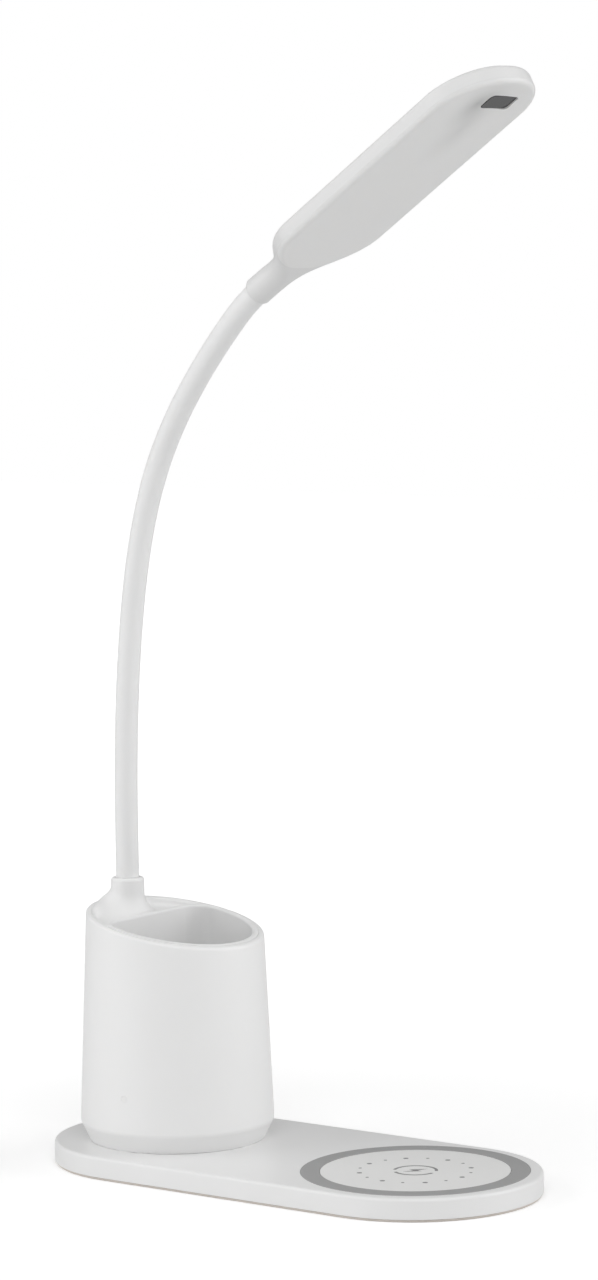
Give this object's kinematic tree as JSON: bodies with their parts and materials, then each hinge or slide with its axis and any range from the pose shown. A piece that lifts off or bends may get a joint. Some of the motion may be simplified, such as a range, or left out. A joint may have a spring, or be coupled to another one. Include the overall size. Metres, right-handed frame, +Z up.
{
  "type": "desk lamp with pen cup and charging pad",
  "caption": "Gooseneck desk lamp on a flat round-ended base, with a pen cup at one end and a wireless charging pad at the other.",
  "frame": {"origin": "centre of the base's footprint, on the table top", "axes": "+Z up; +X along the base from the cup end to the charging pad end; +Y to the rear, where the power inlet is"},
  "size_m": [0.2237, 0.1019, 0.391],
  "materials": {
    "white_housing": "fine satin ABS",
    "white_cup": "fine satin ABS",
    "white_insert": "fine satin ABS",
    "cover_plastic": "plain moulded ABS",
    "mat_rubber": "matt closed-cell rubber",
    "steel": "zinc-plated steel",
    "hose_steel": "wound steel hose",
    "pad_disc": "smooth satin plastic with fine grey printing",
    "ring_rubber": "matt silicone",
    "copper": "enamelled copper winding",
    "ferrite": "sintered ferrite",
    "wire": "PVC insulated wire",
    "circuit_board": "solder mask",
    "board_parts": "moulded epoxy",
    "light_pipe": "clear polycarbonate, matt face",
    "sleeve_silicone": "matt white silicone",
    "white_head": "fine satin ABS",
    "panel_opal": "opal polycarbonate, matt",
    "lamp_board_white": "white solder mask on aluminium",
    "lamp_chip": "phosphor over a white body",
    "reflector": "white reflective film",
    "window_dark": "smoked acrylic"
  },
  "bodies": {
    "base": {"base_housing": "white_housing", "base_cover": "cover_plastic", "anti_slip_mat": "mat_rubber", "base_screws": "steel", "ballast_plate": "steel", "charging_pad": "pad_disc", "grip_ring": "ring_rubber", "charging_coil": "copper", "ferrite_sheet": "ferrite", "coil_leads": "wire", "charger_board": "circuit_board", "charger_parts": "board_parts", "usb_inlet": "steel", "cup_shell": "white_cup", "cup_insert": "white_insert", "cup_foot": "white_cup", "cup_screws": "steel", "status_light": "light_pipe", "control_board": "circuit_board", "control_parts": "board_parts", "supply_lead": "wire", "lower_lead": "wire", "lower_ferrule": "steel", "neck_nut": "steel", "neck_sleeve_0": "sleeve_silicone", "neck_hose_0": "hose_steel"},
    "neck_link_01": {"neck_sleeve_1": "sleeve_silicone", "neck_hose_1": "hose_steel"},
    "neck_link_02": {"neck_sleeve_2": "sleeve_silicone", "neck_hose_2": "hose_steel"},
    "neck_link_03": {"neck_sleeve_3": "sleeve_silicone", "neck_hose_3": "hose_steel"},
    "neck_link_04": {"neck_sleeve_4": "sleeve_silicone", "neck_hose_4": "hose_steel"},
    "neck_link_05": {"neck_sleeve_5": "sleeve_silicone", "neck_hose_5": "hose_steel"},
    "neck_link_06": {"neck_sleeve_6": "sleeve_silicone", "neck_hose_6": "hose_steel"},
    "neck_link_07": {"neck_sleeve_7": "sleeve_silicone", "neck_hose_7": "hose_steel"},
    "neck_link_08": {"neck_sleeve_8": "sleeve_silicone", "neck_hose_8": "hose_steel"},
    "neck_link_09": {"neck_sleeve_9": "sleeve_silicone", "neck_hose_9": "hose_steel"},
    "neck_link_10": {"neck_sleeve_10": "sleeve_silicone", "neck_hose_10": "hose_steel"},
    "neck_link_11": {"neck_sleeve_11": "sleeve_silicone", "neck_hose_11": "hose_steel"},
    "head": {"head_shell": "white_head", "light_panel": "panel_opal", "lamp_board": "lamp_board_white", "lamp_leds": "lamp_chip", "reflector_sheet": "reflector", "lamp_screws": "steel", "sensor_window": "window_dark", "sensor_board": "circuit_board", "upper_ferrule": "steel", "head_lead": "wire", "neck_sleeve_12": "sleeve_silicone", "neck_hose_12": "hose_steel"}
  },
  "joints": [
    {"name": "neck_sway_01", "type": "hinge", "parent": "base", "child": "neck_link_01", "pos_m": [-0.0746, 0, 0.1149], "axis": [0.9816, -0.1908, 0], "range_deg": [-20, 20]},
    {"name": "neck_tilt_02", "type": "hinge", "parent": "neck_link_01", "child": "neck_link_02", "pos_m": [-0.0746, 0, 0.1349], "axis": [0.1908, 0.9816, 0], "range_deg": [-22, 18]},
    {"name": "neck_sway_03", "type": "hinge", "parent": "neck_link_02", "child": "neck_link_03", "pos_m": [-0.07391, -0.00013, 0.15489], "axis": [0.9803, -0.1905, -0.0523], "range_deg": [-20, 20]},
    {"name": "neck_tilt_04", "type": "hinge", "parent": "neck_link_03", "child": "neck_link_04", "pos_m": [-0.07254, -0.0004, 0.17484], "axis": [0.1908, 0.9816, 0], "range_deg": [-22.5, 17.5]},
    {"name": "neck_sway_05", "type": "hinge", "parent": "neck_link_04", "child": "neck_link_05", "pos_m": [-0.07032, -0.00083, 0.19471], "axis": [0.9721, -0.189, -0.1392], "range_deg": [-20, 20]},
    {"name": "neck_tilt_06", "type": "hinge", "parent": "neck_link_05", "child": "neck_link_06", "pos_m": [-0.06708, -0.00146, 0.21444], "axis": [0.1908, 0.9816, 0], "range_deg": [-25, 15]},
    {"name": "neck_sway_07", "type": "hinge", "parent": "neck_link_06", "child": "neck_link_07", "pos_m": [-0.06217, -0.00242, 0.2338], "axis": [0.9336, -0.1815, -0.309], "range_deg": [-20, 20]},
    {"name": "neck_tilt_08", "type": "hinge", "parent": "neck_link_07", "child": "neck_link_08", "pos_m": [-0.05497, -0.00381, 0.25241], "axis": [0.1908, 0.9816, 0], "range_deg": [-29.5, 10.5]},
    {"name": "neck_sway_09", "type": "hinge", "parent": "neck_link_08", "child": "neck_link_09", "pos_m": [-0.04486, -0.00578, 0.26955], "axis": [0.8066, -0.1568, -0.57], "range_deg": [-20, 20]},
    {"name": "neck_tilt_10", "type": "hinge", "parent": "neck_link_09", "child": "neck_link_10", "pos_m": [-0.03264, -0.00816, 0.2852], "axis": [0.1908, 0.9816, 0], "range_deg": [-25, 15]},
    {"name": "neck_sway_11", "type": "hinge", "parent": "neck_link_10", "child": "neck_link_11", "pos_m": [-0.01912, -0.01078, 0.29971], "axis": [0.688, -0.1337, -0.7133], "range_deg": [-20, 20]},
    {"name": "neck_tilt_12", "type": "hinge", "parent": "neck_link_11", "child": "head", "pos_m": [-0.00465, -0.0136, 0.31322], "axis": [0.1908, 0.9816, 0], "range_deg": [-32, 8]}
  ]
}
